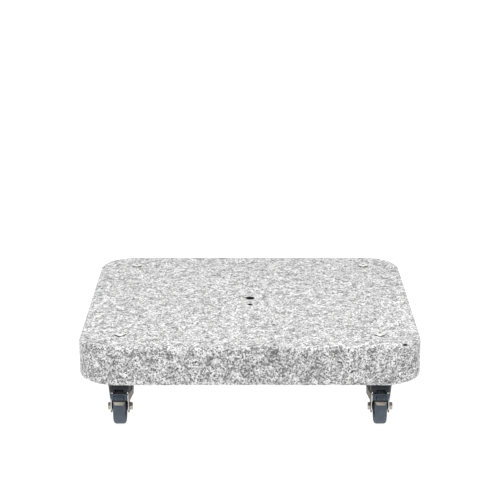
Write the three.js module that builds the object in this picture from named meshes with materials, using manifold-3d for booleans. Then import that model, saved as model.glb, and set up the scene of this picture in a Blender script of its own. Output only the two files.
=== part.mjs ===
// Rollable granite slab for a parasol: a square stone with rounded corners that stands on four braked swivel castors.
// Millimetres, +Z up. Origin on the floor under the middle of the slab. The front is -Y.
import * as THREE from "three";
import { mergeVertices } from "three/addons/utils/BufferGeometryUtils.js";
import { ConvexGeometry } from "three/addons/geometries/ConvexGeometry.js";
import Module from "manifold-3d";

// ---- the stone ----
const SLAB_W = 720; // square, both sides
const SLAB_T = 85; // thickness
const SLAB_CORNER_R = 86; // corners in plan
const SLAB_EDGE_R = 9; // rounding of the upper and lower edges
const CENTRE_HOLE_R = 10; // through hole for the stand tube's screw
const PIN_HOLE_R = 5.25; // blind hole for the pin that stops the stand tube turning
const PIN_HOLE_Y = -52;
const PIN_HOLE_DEPTH = 45;
const BOLT_HOLE_R = 6.75;
const BOLT_PITCH = 548; // castor to castor, both ways

// ---- the castor, in its own frame: z = 0 is the stone's underside, d is the distance from the swivel axis towards the pedal ----
const CASTOR_H = 100;
const WHEEL_R = 37.5;
const TREAD_W = 26;
const TRAIL = 30; // swivel axis to axle
const AXLE_Z = -(CASTOR_H - WHEEL_R);
const FORK_T = 2.5; // sheet
const LEG_OUT = 19.5; // half the width over the legs
const LEG_END_R = 14;
const CROWN_R = 28;
const CROWN_TOP = -8.5;
const CROWN_SKIRT = -17;
const CROWN_FRONT = 34;
const KNEE_Z = -50; // the flared shoulders end here and the legs go straight down
const BACK_R = 27.5; // the skirt at the back of the fork
const BACK_Z = -48;
const COVER_TOP = -3;
const COVER_EDGE = -23.5;
const COVER_HALF = 20.8; // half width
const COVER_FRONT = 58;
const COVER_CORNER = 10; // front corners in plan
const COVER_WALL = 2.2;
const PIN_D = 20; // the pedal's pivot
const PIN_Z = -18.5;
const PIN_R = 2.5;
const AXLE_R = 5; // M10
const AXLE_HEX = 9.24; // 16 mm across flats, and here the distance to a corner
const AXLE_HEX_TURN = (49.3 * Math.PI) / 180; // as the bolt and nut were left when tightened
const SLEEVE_R = 7;
const FIX_R = 6; // M12
const SEAT = 0.3; // clearance left where one piece is seated on another

const wasm = await Module();
wasm.setup();

// ---- geometry helpers ----
function indexed(geometry) {
  const g = geometry.clone();
  for (const name of Object.keys(g.attributes))
    if (name !== "position") g.deleteAttribute(name);
  const merged = mergeVertices(g, 1e-4);
  const p = merged.attributes.position.array,
    keep = [];
  let volume = 0;
  const index = merged.index.array;
  for (let i = 0; i < index.length; i += 3) {
    const [a, b, c] = [index[i], index[i + 1], index[i + 2]];
    if (a === b || b === c || a === c) continue;
    keep.push(a, b, c);
    const A = [p[3 * a], p[3 * a + 1], p[3 * a + 2]],
      B = [p[3 * b], p[3 * b + 1], p[3 * b + 2]],
      C = [p[3 * c], p[3 * c + 1], p[3 * c + 2]];
    volume +=
      A[0] * (B[1] * C[2] - B[2] * C[1]) -
      A[1] * (B[0] * C[2] - B[2] * C[0]) +
      A[2] * (B[0] * C[1] - B[1] * C[0]);
  }
  if (volume < 0)
    for (let i = 0; i < keep.length; i += 3)
      [keep[i + 1], keep[i + 2]] = [keep[i + 2], keep[i + 1]];
  return { vertProperties: p, triVerts: new Uint32Array(keep) };
}

function solid(geometry) {
  return new wasm.Manifold(new wasm.Mesh({ numProp: 3, ...indexed(geometry) }));
}

function geometryOf(manifold) {
  const m = manifold.getMesh(),
    v = new Float32Array(m.numVert * 3);
  for (let i = 0; i < m.numVert; i++)
    v.set(m.vertProperties.subarray(i * m.numProp, i * m.numProp + 3), i * 3);
  const g = new THREE.BufferGeometry()
    .setAttribute("position", new THREE.BufferAttribute(v, 3))
    .setIndex(new THREE.BufferAttribute(new Uint32Array(m.triVerts), 1));
  g.computeVertexNormals();
  return g;
}

const MINUS = (a, ...cuts) => cuts.reduce((s, c) => s.subtract(c), a);
const PLUS = (a, ...more) => more.reduce((s, c) => s.add(c), a);

// A closed (radius, z) profile turned about Z. The points may go round either way.
function turned(profile, n, start = 0) {
  const pts = profile.map(([r, z]) => new THREE.Vector2(Math.max(r, 0), z));
  let area = 0;
  pts.forEach((a, i) => {
    const b = pts[(i + 1) % pts.length];
    area += a.x * b.y - a.y * b.x;
  });
  if (area < 0) pts.reverse();
  if (profile[0][0] > 1e-6) pts.push(pts[0].clone());
  return new THREE.LatheGeometry(pts, n, start).rotateX(Math.PI / 2);
}

// A round bar or hole along X at (d, z), from x0 to x1.
function alongX(r, x0, x1, d, z, n = 16) {
  return new THREE.CylinderGeometry(r, r, x1 - x0, n)
    .rotateZ(Math.PI / 2)
    .translate((x0 + x1) / 2, -d, z);
}

function alongZ(r, z0, z1, n = 24, x = 0, y = 0) {
  return new THREE.CylinderGeometry(r, r, z1 - z0, n)
    .rotateX(Math.PI / 2)
    .translate(x, y, (z0 + z1) / 2);
}

// A side view, given as (d, z) points, made x0 to x1 wide.
const SIDE = new THREE.Matrix4().makeBasis(
  new THREE.Vector3(0, 1, 0),
  new THREE.Vector3(0, 0, 1),
  new THREE.Vector3(1, 0, 0),
);
function sideways(points, x0, x1) {
  const shape = new THREE.Shape(
    points.map(([d, z]) => new THREE.Vector2(-d, z)),
  );
  return new THREE.ExtrudeGeometry(shape, {
    depth: x1 - x0,
    bevelEnabled: false,
  })
    .applyMatrix4(SIDE)
    .translate(x0, 0, 0);
}

function box(x0, x1, d0, d1, z0, z1) {
  return new THREE.BoxGeometry(x1 - x0, d1 - d0, z1 - z0).translate(
    (x0 + x1) / 2,
    -(d0 + d1) / 2,
    (z0 + z1) / 2,
  );
}

const ringPoints = (r, z, n, d = 0, from = 0, to = 360) => {
  const out = [];
  for (let i = 0; i <= n; i++) {
    const a = ((from + ((to - from) * i) / n) * Math.PI) / 180;
    out.push(new THREE.Vector3(r * Math.sin(a), -(d + r * Math.cos(a)), z));
  }
  return out;
};

// A point at an angle above the horizontal and a radius from the axle, as (d, z).
const aboutAxle = (r, deg) => [
  TRAIL + r * Math.cos((deg * Math.PI) / 180),
  AXLE_Z + r * Math.sin((deg * Math.PI) / 180),
];
const arc = (r, from, to, n) =>
  Array.from({ length: n + 1 }, (_, i) =>
    aboutAxle(r, from + ((to - from) * i) / n),
  );

// ---- materials ----
const MATERIALS = {
  granite: { color: 0xb9b8b6, roughness: 0.75, metalness: 0 },
  stainless: { color: 0xc9c7c2, roughness: 0.28, metalness: 1 },
  zinc: { color: 0xb9b3aa, roughness: 0.4, metalness: 1 },
  cover_plastic: { color: 0x33363d, roughness: 0.55, metalness: 0 },
  pedal_plastic: { color: 0x4a5262, roughness: 0.5, metalness: 0 },
  tread_rubber: { color: 0x566173, roughness: 0.7, metalness: 0 },
  core_plastic: { color: 0x3b4048, roughness: 0.55, metalness: 0 },
  brake_steel: { color: 0xcfc7b4, roughness: 0.35, metalness: 1 },
};
const material = (slot) =>
  new THREE.MeshStandardMaterial({ name: slot, ...MATERIALS[slot] });

function mesh(name, geometry, slot) {
  const m = new THREE.Mesh(geometry, material(slot));
  m.name = name;
  return m;
}

// ---- the stone ----
function graniteSlab() {
  const h = SLAB_W / 2,
    r = SLAB_CORNER_R,
    top = CASTOR_H + SLAB_T,
    shape = new THREE.Shape();
  shape.moveTo(h, -h + r);
  shape.lineTo(h, h - r);
  shape.absarc(h - r, h - r, r, 0, Math.PI / 2, false);
  shape.lineTo(-h + r, h);
  shape.absarc(-h + r, h - r, r, Math.PI / 2, Math.PI, false);
  shape.lineTo(-h, -h + r);
  shape.absarc(-h + r, -h + r, r, Math.PI, 1.5 * Math.PI, false);
  shape.lineTo(h - r, -h);
  shape.absarc(h - r, -h + r, r, 1.5 * Math.PI, 2 * Math.PI, false);
  const body = new THREE.ExtrudeGeometry(shape, {
    depth: SLAB_T - 2 * SLAB_EDGE_R,
    curveSegments: 8,
    bevelEnabled: true,
    bevelThickness: SLAB_EDGE_R,
    bevelSize: SLAB_EDGE_R,
    bevelOffset: -SLAB_EDGE_R,
    bevelSegments: 3,
  }).translate(0, 0, CASTOR_H + SLAB_EDGE_R);
  const p = BOLT_PITCH / 2,
    holes = [
      alongZ(CENTRE_HOLE_R, CASTOR_H - 5, top + 5, 24),
      alongZ(PIN_HOLE_R, top - PIN_HOLE_DEPTH, top + 5, 16, 0, PIN_HOLE_Y),
    ];
  for (const [x, y] of [
    [-p, -p],
    [p, -p],
    [-p, p],
    [p, p],
  ])
    holes.push(alongZ(BOLT_HOLE_R, CASTOR_H - 5, top + 5, 16, x, y));
  return geometryOf(MINUS(solid(body), ...holes.map(solid)));
}

// ---- what holds a castor to the stone ----
function fixingBolt() {
  const t = SLAB_T;
  const blank = turned(
    [
      [0, -28],
      [FIX_R, -28],
      [FIX_R, t + SEAT],
      [11.8, t + SEAT],
      [11.8, t + 2.4],
      [10.5, t + 3.4],
      [8.3, t + 4.3],
      [6, t + 4.7],
      [0, t + 4.7],
    ],
    20,
  );
  const socket = new THREE.CylinderGeometry(3.7, 3.7, 7, 6)
    .rotateX(Math.PI / 2)
    .translate(0, 0, t + 4.7);
  return geometryOf(MINUS(solid(blank), solid(socket)));
}

function swivelHead() {
  return turned(
    [
      [6.5, -SEAT],
      [6.5, -14],
      [14.5, -14],
      [14.5, -11.5],
      [9, -11.5],
      [9, -2.5],
      [20, -2.5],
      [20, -6],
      [22, -6],
      [22, -SEAT],
    ],
    20,
  );
}

function fixingNut() {
  const hex = new THREE.CylinderGeometry(10.97, 10.97, 9.2, 6)
    .rotateX(Math.PI / 2)
    .translate(0, 0, -14 - SEAT - 4.6);
  const collar = alongZ(8.4, -25.5, -23, 16);
  return geometryOf(
    MINUS(PLUS(solid(hex), solid(collar)), solid(alongZ(6.3, -30, -10, 16))),
  );
}

// ---- the swivelling fork ----
function ballRing() {
  const section = [];
  for (let i = 0; i < 6; i++) {
    const a = (i / 6) * 2 * Math.PI;
    section.push([14.5 + 2.7 * Math.cos(a), -5.5 + 2.7 * Math.sin(a)]);
  }
  return turned(section, 16);
}

// Where the front or back edge of a leg crosses a height: the line from a crown corner that just touches the round leg end.
function legEdge(d0, z0, side, z) {
  const dx = TRAIL - d0,
    dz = AXLE_Z - z0,
    reach = Math.hypot(dx, dz),
    a = Math.atan2(dz, dx) + side * Math.asin(LEG_END_R / reach);
  return d0 + (z - z0) / Math.tan(a);
}
const KNEE_FRONT = legEdge(CROWN_FRONT, CROWN_SKIRT, 1, KNEE_Z);
const KNEE_BACK = legEdge(-CROWN_R, CROWN_SKIRT, -1, KNEE_Z);

// The back of the crown comes down as a round skirt; this is its lower edge.
const backEdge = (grow, z) =>
  ringPoints(BACK_R + grow, z, 24).filter((p) => p.y > 8);

// The crown and shoulders, down to where the legs turn upright; grow is how far outside the sheet's outer face.
function shoulders(grow) {
  const points = [
    ...ringPoints(CROWN_R + grow, CROWN_TOP + grow, 24),
    ...ringPoints(CROWN_R + grow, CROWN_SKIRT, 24),
    ...backEdge(grow, BACK_Z),
  ];
  for (const x of [-LEG_OUT - grow, LEG_OUT + grow]) {
    points.push(new THREE.Vector3(x, -(CROWN_FRONT + grow), CROWN_TOP + grow));
    points.push(new THREE.Vector3(x, -(CROWN_FRONT + grow), CROWN_SKIRT));
    points.push(new THREE.Vector3(x, -KNEE_FRONT, KNEE_Z));
    points.push(new THREE.Vector3(x, -KNEE_BACK, KNEE_Z));
  }
  return new ConvexGeometry(points);
}

function fork() {
  const legs = new ConvexGeometry(
    [-LEG_OUT, LEG_OUT].flatMap((x) => [
      new THREE.Vector3(x, -KNEE_FRONT, KNEE_Z),
      new THREE.Vector3(x, -KNEE_BACK, KNEE_Z),
      ...arc(LEG_END_R, 0, 360, 16).map(([d, z]) => new THREE.Vector3(x, -d, z)),
    ]),
  );
  const channel = LEG_OUT - FORK_T,
    open = new ConvexGeometry([
      ...backEdge(-FORK_T, BACK_Z + 1),
      ...backEdge(-FORK_T, BACK_Z - 20),
      ...[-channel, channel].flatMap((x) => [
        new THREE.Vector3(x, -KNEE_BACK, BACK_Z + 1),
        new THREE.Vector3(x, -KNEE_BACK, BACK_Z - 20),
      ]),
    ]);
  return geometryOf(
    MINUS(
      PLUS(solid(shoulders(0)), solid(legs)),
      solid(shoulders(-FORK_T)),
      solid(open),
      solid(box(-channel, channel, -60, 80, -90, CROWN_TOP - FORK_T)),
      solid(alongZ(9.6, -20, 0, 20)),
      solid(alongX(AXLE_R + 0.4, -40, 40, TRAIL, AXLE_Z)),
      solid(alongX(PIN_R + 0.3, -40, 40, PIN_D, PIN_Z, 12)),
    ),
  );
}

// A hood with round front corners, leaning back towards its top.
function coverHull(inset, bottom) {
  const points = [];
  for (const [half, front, corner, z] of [
    [COVER_HALF - 2.8, COVER_FRONT - 8, COVER_CORNER, COVER_TOP],
    [COVER_HALF - 1.4, COVER_FRONT - 5.6, COVER_CORNER + 0.8, COVER_TOP - 2.2],
    [COVER_HALF - 0.4, COVER_FRONT - 1.8, COVER_CORNER + 0.8, -13],
    [COVER_HALF, COVER_FRONT, COVER_CORNER, bottom],
  ]) {
    const low = z === bottom ? z : z - inset,
      r = corner - inset;
    for (const s of [-1, 1]) {
      points.push(new THREE.Vector3(s * (half - inset), -8, low));
      for (let i = 0; i <= 5; i++) {
        const a = (i / 5) * (Math.PI / 2);
        points.push(
          new THREE.Vector3(
            s * (half - corner + r * Math.sin(a)),
            -(front - corner + r * Math.cos(a)),
            low,
          ),
        );
      }
    }
  }
  return new ConvexGeometry(points);
}

function brakeCover() {
  const clearOfFork = solid(shoulders(0.5));
  return geometryOf(
    MINUS(
      solid(coverHull(0, COVER_EDGE)),
      solid(coverHull(COVER_WALL, COVER_EDGE - 6)),
      clearOfFork,
      solid(alongZ(23.2, -40, 4, 20)),
      solid(box(-9.6, 9.6, 45, 70, -30, -17)),
    ),
  );
}

// ---- the axle ----
function axleBolt() {
  const x0 = -(LEG_OUT + 0.1);
  const head = new THREE.CylinderGeometry(AXLE_HEX, AXLE_HEX, 5.9, 6)
    .rotateY(AXLE_HEX_TURN)
    .rotateZ(Math.PI / 2)
    .translate(x0 - 2.95, -TRAIL, AXLE_Z);
  return geometryOf(
    PLUS(
      solid(head),
      solid(alongX(AXLE_R, x0 - 1, LEG_OUT + 7.4, TRAIL, AXLE_Z)),
    ),
  );
}

function axleNut() {
  const x0 = LEG_OUT + 0.1;
  const hex = new THREE.CylinderGeometry(AXLE_HEX, AXLE_HEX, 6.9, 6)
    .rotateY(AXLE_HEX_TURN)
    .rotateZ(Math.PI / 2)
    .translate(x0 + 3.45, -TRAIL, AXLE_Z);
  return geometryOf(
    MINUS(
      solid(hex),
      solid(alongX(AXLE_R + 0.3, x0 - 3, x0 + 11, TRAIL, AXLE_Z)),
    ),
  );
}

function axleSleeve() {
  const x = LEG_OUT - FORK_T - 0.3;
  return geometryOf(
    MINUS(
      solid(alongX(SLEEVE_R, -x, x, TRAIL, AXLE_Z, 16)),
      solid(alongX(AXLE_R + 0.4, -x - 2, x + 2, TRAIL, AXLE_Z)),
    ),
  );
}

// ---- the wheel ----
// A (radius, x) profile turned about the axle, with a flat facet at the bottom.
function wheelTurned(profile, n) {
  const grow = 1 / Math.cos(Math.PI / n);
  return turned(
    profile.map(([r, x]) => [r * grow, x]),
    n,
    Math.PI / n,
  )
    .rotateY(Math.PI / 2)
    .translate(0, -TRAIL, AXLE_Z);
}

function wheelCore() {
  const half = [
    [SLEEVE_R + 0.4, 15.5],
    [10.5, 15.5],
    [10.5, 4.5],
    [25.4, 4.5],
    [25.4, 11.4],
    [28.4, 11.4],
  ];
  return wheelTurned(
    [...half, ...half.toReversed().map(([r, x]) => [r, -x])],
    16,
  );
}

function wheelTread() {
  const h = TREAD_W / 2,
    half = [
      [29.2, 11.6],
      [31.5, h],
      [35.4, h - 0.8],
      [WHEEL_R, h - 4.2],
    ];
  return wheelTurned(
    [...half, ...half.toReversed().map(([r, x]) => [r, -x])],
    32,
  );
}

// ---- the brake ----
function brakePedal() {
  const neck = sideways(
    [
      [PIN_D - 1, PIN_Z + 3.6],
      [PIN_D + 6, PIN_Z + 3.0],
      [40, -18.6],
      [52, -22.3],
      [57, -24.8],
      [61.4, -25],
      [63, -36],
      ...arc(39.8, 37, 97, 8),
      [PIN_D - 1, PIN_Z - 3.6],
    ],
    -8.6,
    8.6,
  );
  const step = sideways(
    [
      [59.4, -25.3],
      [61.6, -24.9],
      [63.4, -27],
      [67.7, -36.6],
      [67.2, -38.3],
      [65.9, -38.9],
      [65.7, -42.2],
      [64.6, -42.5],
      [60.5, -36],
      [58.2, -29.5],
    ],
    -19.5,
    19.5,
  );
  // The step narrows downwards.
  const side = (s) =>
    new THREE.ExtrudeGeometry(
      new THREE.Shape([
        new THREE.Vector2(s * 19.7, -24),
        new THREE.Vector2(s * 13.4, -43),
        new THREE.Vector2(s * 30, -43),
        new THREE.Vector2(s * 30, -24),
      ]),
      { depth: 30, bevelEnabled: false },
    )
      .rotateX(Math.PI / 2)
      .translate(0, -50, 0);
  return geometryOf(
    MINUS(
      PLUS(
        solid(neck),
        solid(step),
        solid(alongX(4.2, -8.6, 8.6, PIN_D, PIN_Z, 16)),
      ),
      solid(side(1)),
      solid(side(-1)),
      solid(alongX(PIN_R + 0.3, -30, 30, PIN_D, PIN_Z, 12)),
    ),
  );
}

function brakePlate() {
  const strip = sideways(
    [...arc(38.2, 20, 80, 10), ...arc(39.6, 80, 20, 10)],
    -14.6,
    14.6,
  );
  const taper = (s) =>
    new THREE.ExtrudeGeometry(
      new THREE.Shape([
        new THREE.Vector2(s * 14.7, -38),
        new THREE.Vector2(s * 7.4, -50),
        new THREE.Vector2(s * 20, -50),
        new THREE.Vector2(s * 20, -38),
      ]),
      { depth: 40, bevelEnabled: false },
    )
      .rotateX(Math.PI / 2)
      .translate(0, -40, 0);
  return geometryOf(MINUS(solid(strip), solid(taper(1)), solid(taper(-1))));
}

function pedalPin() {
  return alongX(PIN_R, -22.4, 22.4, PIN_D, PIN_Z, 12);
}

// ---- the assembly ----
const assembly = new THREE.Group();
assembly.name = "rollable_granite_slab";
assembly.add(mesh("granite_slab", graniteSlab(), "granite"));

const PIECES = [
  ["fixing_bolt", fixingBolt(), "stainless"],
  ["swivel_head", swivelHead(), "zinc"],
  ["fixing_nut", fixingNut(), "zinc"],
  ["ball_ring", ballRing(), "zinc"],
  ["fork", fork(), "zinc"],
  ["brake_cover", brakeCover(), "cover_plastic"],
  ["axle_bolt", axleBolt(), "zinc"],
  ["axle_nut", axleNut(), "zinc"],
  ["axle_sleeve", axleSleeve(), "zinc"],
  ["wheel_core", wheelCore(), "core_plastic"],
  ["wheel_tread", wheelTread(), "tread_rubber"],
  ["pedal_pin", pedalPin(), "zinc"],
  ["brake_pedal", brakePedal(), "pedal_plastic"],
  ["brake_plate", brakePlate(), "brake_steel"],
];

const P = BOLT_PITCH / 2;
for (const [where, x, y, turn] of [
  ["front_left", -P, -P, 0],
  ["front_right", P, -P, 0],
  ["rear_left", -P, P, Math.PI],
  ["rear_right", P, P, Math.PI],
]) {
  const castor = new THREE.Group();
  castor.name = "castor_" + where;
  for (const [piece, geometry, slot] of PIECES)
    castor.add(mesh(piece + "_" + where, geometry, slot));
  castor.position.set(x, y, CASTOR_H);
  castor.rotation.z = turn;
  assembly.add(castor);
}

export default assembly;
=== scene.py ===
"""A square granite slab on four braked swivel castors: the looks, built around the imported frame."""
import math

import bmesh
import bpy
import numpy as np
from mathutils import Matrix, Vector
from mathutils.geometry import delaunay_2d_cdt


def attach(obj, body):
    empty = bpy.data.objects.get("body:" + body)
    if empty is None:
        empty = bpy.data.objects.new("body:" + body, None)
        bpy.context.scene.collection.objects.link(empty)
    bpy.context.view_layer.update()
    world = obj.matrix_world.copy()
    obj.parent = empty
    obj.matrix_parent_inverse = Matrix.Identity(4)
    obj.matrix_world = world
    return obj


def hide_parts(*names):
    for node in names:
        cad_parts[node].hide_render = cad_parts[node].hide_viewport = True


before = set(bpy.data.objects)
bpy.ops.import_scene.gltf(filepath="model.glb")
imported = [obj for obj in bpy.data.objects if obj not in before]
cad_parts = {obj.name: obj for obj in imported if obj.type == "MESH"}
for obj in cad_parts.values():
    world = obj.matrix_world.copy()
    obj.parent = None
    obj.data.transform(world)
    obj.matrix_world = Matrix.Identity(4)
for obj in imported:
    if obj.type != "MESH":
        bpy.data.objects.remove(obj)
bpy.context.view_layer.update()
scene = bpy.context.scene
MM = 0.001

# ---------------------------------------------------------------- camera, floor and light
camera = bpy.data.objects.new("camera", bpy.data.cameras.new("camera"))
camera.location = (0.0, -3.6405, 1.2596)
camera.rotation_euler = (math.radians(75.197), 0.0, 0.0)
camera.data.sensor_width = 36.0
camera.data.lens = 120.56
camera.data.clip_end = 100.0
scene.collection.objects.link(camera)
scene.camera = camera
scene.view_settings.view_transform = "Standard"
scene.view_settings.look = "None"

world = bpy.data.worlds.new("studio")
scene.world = world
world.use_nodes = True


def light_the_room():
    """A white sweep behind and above the object, and a dimmer room on the camera's side."""
    tree = world.node_tree
    back = tree.nodes["Background"]
    co = tree.nodes.new("ShaderNodeTexCoord")
    split = tree.nodes.new("ShaderNodeSeparateXYZ")
    tree.links.new(co.outputs["Generated"], split.inputs[0])
    depth = tree.nodes.new("ShaderNodeMapRange")
    depth.interpolation_type = "SMOOTHSTEP"
    tree.links.new(split.outputs["Y"], depth.inputs["Value"])
    for key, value in (
        ("From Min", -0.55),
        ("From Max", 0.55),
        ("To Min", 0.52),
        ("To Max", 1.04),
    ):
        depth.inputs[key].default_value = value
    tree.links.new(depth.outputs["Result"], back.inputs["Strength"])
    back.inputs["Color"].default_value = (1.0, 1.0, 1.0, 1)


light_the_room()


def area_light(name, size, location, target, power):
    data = bpy.data.lights.new(name, "AREA")
    data.shape = "RECTANGLE"
    data.size, data.size_y = size
    data.energy = power
    light = bpy.data.objects.new(name, data)
    light.location = location
    light.rotation_euler = (
        (Vector(target) - Vector(location)).to_track_quat("-Z", "Y").to_euler()
    )
    scene.collection.objects.link(light)


area_light("top_softbox", (2.4, 1.6), (0.0, -0.7, 2.3), (0, -0.1, 0.1), 40)
area_light("front_softbox", (1.6, 1.0), (-1.1, -3.2, 1.3), (0, -0.3, 0.1), 5)

# ---------------------------------------------------------------- mesh helpers, in millimetres


def make_mesh(name, verts, faces):
    mesh = bpy.data.meshes.new(name)
    mesh.from_pydata([(x * MM, y * MM, z * MM) for x, y, z in verts], [], faces)
    mesh.update()
    return mesh


def loft(rings, closed=False, cap=True):
    """Rings of the same number of points, joined by quads. closed joins the last ring to the first."""
    n = len(rings[0])
    verts = [p for ring in rings for p in ring]
    faces = []
    pairs = [(i, i + 1) for i in range(len(rings) - 1)]
    if closed:
        pairs.append((len(rings) - 1, 0))
    for a, b in pairs:
        for j in range(n):
            k = (j + 1) % n
            faces.append((a * n + j, a * n + k, b * n + k, b * n + j))
    if cap and not closed:
        faces.append(tuple(range(n - 1, -1, -1)))
        faces.append(tuple((len(rings) - 1) * n + j for j in range(n)))
    return verts, faces


def arc_round(points, radius, segments=3, closed=True):
    """A 2D outline with each corner rounded to the radius, or to what its edges leave room for. radius may be a list."""
    out = []
    n = len(points)
    for i, p in enumerate(points):
        r = radius[i] if isinstance(radius, (list, tuple)) else radius
        if (not closed and i in (0, n - 1)) or r <= 0:
            out.append(tuple(p))
            continue
        p = Vector(p)
        a, b = Vector(points[i - 1]) - p, Vector(points[(i + 1) % n]) - p
        la, lb = a.length, b.length
        if la < 1e-6 or lb < 1e-6:
            continue
        a, b = a / la, b / lb
        angle = math.acos(max(-1, min(1, a.dot(b))))
        if angle > math.pi - 0.03:
            out.append(tuple(p))
            continue
        reach = min(r / math.tan(angle / 2), la * 0.48, lb * 0.48)
        r = reach * math.tan(angle / 2)
        centre = p + (a + b).normalized() * (r / math.sin(angle / 2))
        s, e = p + a * reach - centre, p + b * reach - centre
        turn = math.atan2(s.x * e.y - s.y * e.x, s.dot(e))
        for k in range(segments + 1):
            t = turn * k / segments
            out.append(
                (
                    centre.x + s.x * math.cos(t) - s.y * math.sin(t),
                    centre.y + s.x * math.sin(t) + s.y * math.cos(t),
                )
            )
    return out


def turned(profile, n=64, closed=True):
    """A (radius, height) profile turned about Z. An open profile starts and ends on the axis."""
    rings = [
        [
            (
                r * math.cos(2 * math.pi * j / n),
                r * math.sin(2 * math.pi * j / n),
                h,
            )
            for j in range(n)
        ]
        for r, h in profile
    ]
    return loft(rings, closed=closed)


def tidy(mesh, angle=32.0, weld=0.002):
    """Merges what coincides, points the faces outwards, and shades smoothly except across sharp edges."""
    bm = bmesh.new()
    bm.from_mesh(mesh)
    bmesh.ops.remove_doubles(bm, verts=bm.verts, dist=weld * MM)
    bmesh.ops.dissolve_degenerate(bm, edges=bm.edges, dist=weld * MM * 0.5)
    bmesh.ops.recalc_face_normals(bm, faces=bm.faces)
    limit = math.radians(angle)
    for f in bm.faces:
        f.smooth = True
    for e in bm.edges:
        if len(e.link_faces) == 2:
            e.smooth = e.calc_face_angle(0) < limit
        else:
            e.smooth = False
    bm.to_mesh(mesh)
    bm.free()
    mesh.update()
    return mesh


def applied(mesh, *modifiers):
    """The mesh with modifiers applied; each is (type, {property: value})."""
    obj = bpy.data.objects.new("work", mesh)
    scene.collection.objects.link(obj)
    extra = []
    for kind, values in modifiers:
        m = obj.modifiers.new(kind, kind)
        for key, value in values.items():
            if key == "cutter":
                other = bpy.data.objects.new("cutter", value)
                scene.collection.objects.link(other)
                extra.append(other)
                m.object = other
                m.solver = "EXACT"
            else:
                setattr(m, key, value)
    bpy.context.view_layer.update()
    out = bpy.data.meshes.new_from_object(
        obj.evaluated_get(bpy.context.evaluated_depsgraph_get())
    )
    out.name = mesh.name
    for o in [obj, *extra]:
        bpy.data.objects.remove(o)
    return out


def minus(mesh, *cutters):
    return applied(
        mesh,
        *[("BOOLEAN", {"operation": "DIFFERENCE", "cutter": c}) for c in cutters],
    )


def plus(mesh, *others):
    return applied(
        mesh, *[("BOOLEAN", {"operation": "UNION", "cutter": c}) for c in others]
    )


def flat_joined(mesh, degrees=0.2):
    """Joins faces that lie in one plane, so that a bevel has clean edges."""
    bm = bmesh.new()
    bm.from_mesh(mesh)
    bmesh.ops.remove_doubles(bm, verts=bm.verts, dist=0.004 * MM)
    bmesh.ops.dissolve_limit(
        bm,
        angle_limit=math.radians(degrees),
        verts=bm.verts,
        edges=bm.edges,
        use_dissolve_boundaries=False,
    )
    bm.to_mesh(mesh)
    bm.free()
    return mesh


def bevelled(mesh, width, segments=2, angle=35.0):
    flat_joined(mesh)
    return applied(
        mesh,
        (
            "BEVEL",
            {
                "width": width * MM,
                "segments": segments,
                "limit_method": "ANGLE",
                "angle_limit": math.radians(angle),
                "use_clamp_overlap": True,
                "miter_outer": "MITER_ARC",
            },
        ),
    )


def hull(name, points):
    bm = bmesh.new()
    for x, y, z in points:
        bm.verts.new((x * MM, y * MM, z * MM))
    bmesh.ops.remove_doubles(bm, verts=bm.verts, dist=0.003 * MM)
    result = bmesh.ops.convex_hull(bm, input=bm.verts)
    inside = [
        v for v in result["geom_interior"] if isinstance(v, bmesh.types.BMVert)
    ] + [v for v in result["geom_unused"] if isinstance(v, bmesh.types.BMVert)]
    bmesh.ops.delete(bm, geom=list(set(inside)), context="VERTS")
    bmesh.ops.recalc_face_normals(bm, faces=bm.faces)
    mesh = bpy.data.meshes.new(name)
    bm.to_mesh(mesh)
    bm.free()
    return flat_joined(mesh, 0.05)


def block(x0, x1, y0, y1, z0, z1):
    verts = [(x, y, z) for z in (z0, z1) for y in (y0, y1) for x in (x0, x1)]
    faces = [
        (0, 2, 3, 1),
        (4, 5, 7, 6),
        (0, 1, 5, 4),
        (2, 6, 7, 3),
        (0, 4, 6, 2),
        (1, 3, 7, 5),
    ]
    return make_mesh("block", verts, faces)


def rod(radius, x0, x1, d, z, n=48):
    """A round bar along X, at d towards the pedal."""
    rings = [
        [
            (
                x,
                -d + radius * math.cos(2 * math.pi * j / n),
                z + radius * math.sin(2 * math.pi * j / n),
            )
            for j in range(n)
        ]
        for x in (x0, x1)
    ]
    return tidy(make_mesh("rod", *loft(rings)))


def upright(radius, z0, z1, n=64):
    return tidy(
        make_mesh(
            "upright",
            *loft(
                [
                    [
                        (
                            radius * math.cos(2 * math.pi * j / n),
                            radius * math.sin(2 * math.pi * j / n),
                            z,
                        )
                        for j in range(n)
                    ]
                    for z in (z0, z1)
                ]
            ),
        )
    )


def slab_of(points, x0, x1):
    """A side view of (d, z) points, made x0 to x1 wide."""
    rings = [[(x, -d, z) for d, z in points] for x in (x0, x1)]
    return tidy(make_mesh("side", *loft(rings)))


# ---------------------------------------------------------------- smooth repeatable noise, for geometry


def lattice(ix, iy, iz, seed):
    h = (ix * 374761393 + iy * 668265263 + iz * 1274126177 + seed * 974634777) & 0xFFFFFFFF
    h = ((h ^ (h >> 13)) * 1103515245) & 0xFFFFFFFF
    h = ((h ^ (h >> 16)) * 2654435761) & 0xFFFFFFFF
    return ((h ^ (h >> 15)) & 0xFFFFFF) / float(0xFFFFFF)


def noise3(p, cell, seed=0):
    """Value noise from 0 to 1 at points p (n, 3), in mm."""
    q = np.asarray(p, float) / cell + 4096.0
    i = np.floor(q).astype(np.int64)
    f = q - i
    f = f * f * (3 - 2 * f)
    total = np.zeros(len(q))
    for dx in (0, 1):
        for dy in (0, 1):
            for dz in (0, 1):
                w = (
                    np.where(dx, f[:, 0], 1 - f[:, 0])
                    * np.where(dy, f[:, 1], 1 - f[:, 1])
                    * np.where(dz, f[:, 2], 1 - f[:, 2])
                )
                total += w * lattice(i[:, 0] + dx, i[:, 1] + dy, i[:, 2] + dz, seed)
    return total


# ---------------------------------------------------------------- materials


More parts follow.
